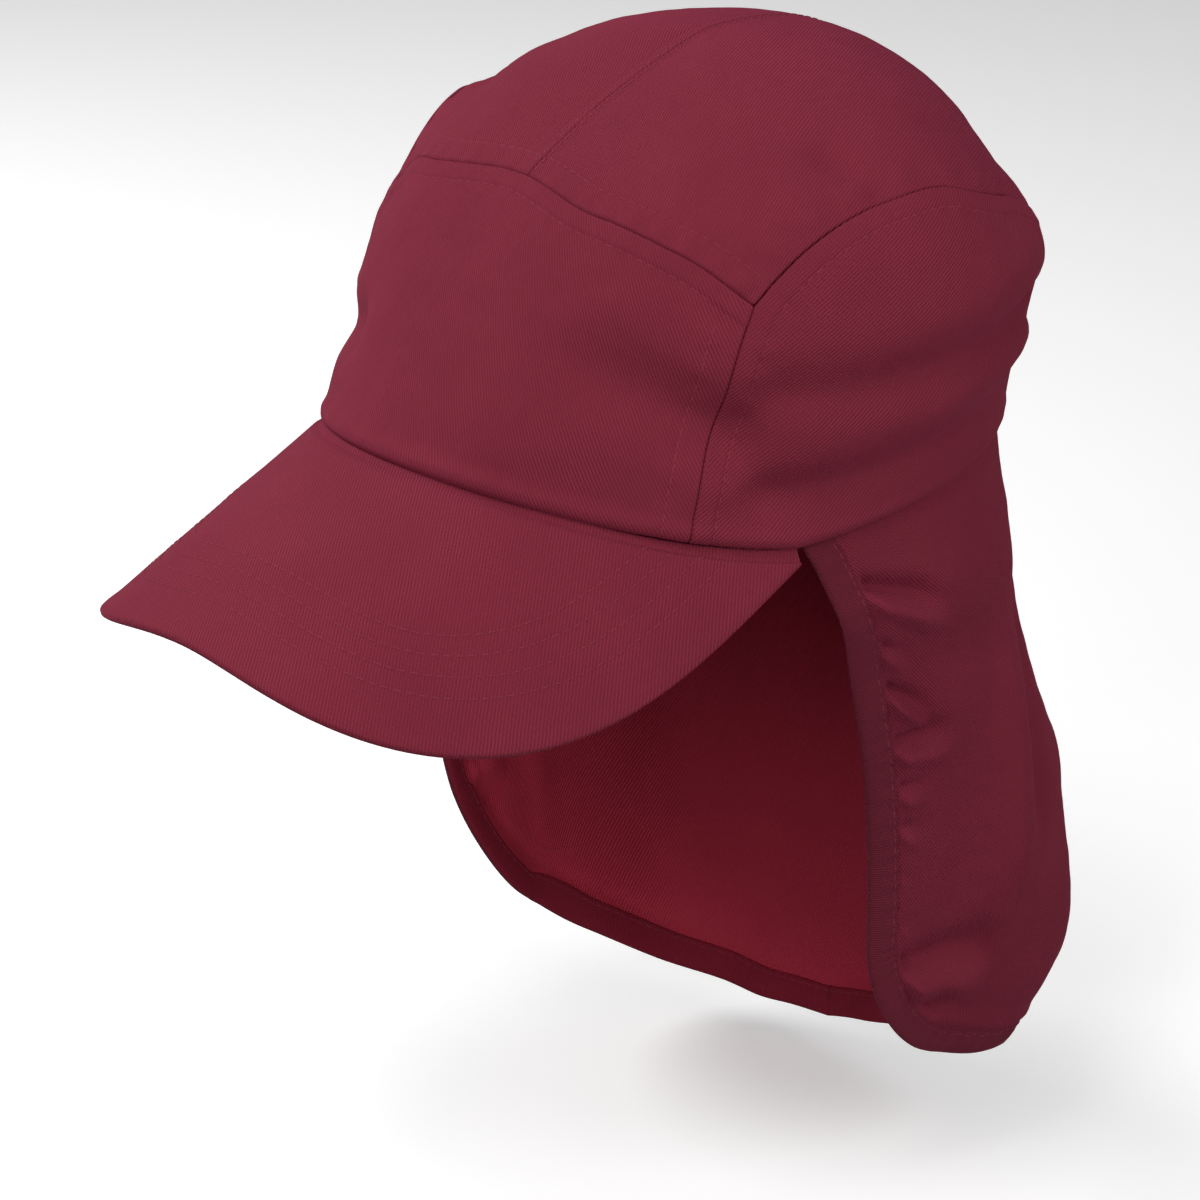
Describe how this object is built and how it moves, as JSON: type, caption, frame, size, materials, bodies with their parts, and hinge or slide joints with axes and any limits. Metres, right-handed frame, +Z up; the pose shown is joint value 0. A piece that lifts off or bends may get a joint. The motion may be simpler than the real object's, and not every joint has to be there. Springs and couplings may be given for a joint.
{
  "type": "legionnaire cap",
  "caption": "Soft cloth cap with a curved peak, a panelled crown and a long neck flap with a bound edge that hangs from the rim.",
  "frame": {"origin": "middle of the head opening, at the height of the rim beside the ears, where the cap sits on a head", "axes": "+Z up towards the crest, -Y forward towards the peak, +X towards the wearer's left"},
  "size_m": [0.1834, 0.2622, 0.3251],
  "materials": {
    "crown_cloth": "matte burgundy cotton twill",
    "peak_cloth": "matte burgundy cotton twill over a stiff board",
    "flap_cloth": "matte burgundy cotton twill",
    "binding_tape": "matte folded burgundy tape"
  },
  "bodies": {
    "root": {"front_panel": "crown_cloth", "top_panel_left": "crown_cloth", "top_panel_right": "crown_cloth", "side_panel_left": "crown_cloth", "side_panel_right": "crown_cloth", "peak": "peak_cloth", "neck_flap": "flap_cloth", "flap_binding": "binding_tape"}
  },
  "joints": []
}
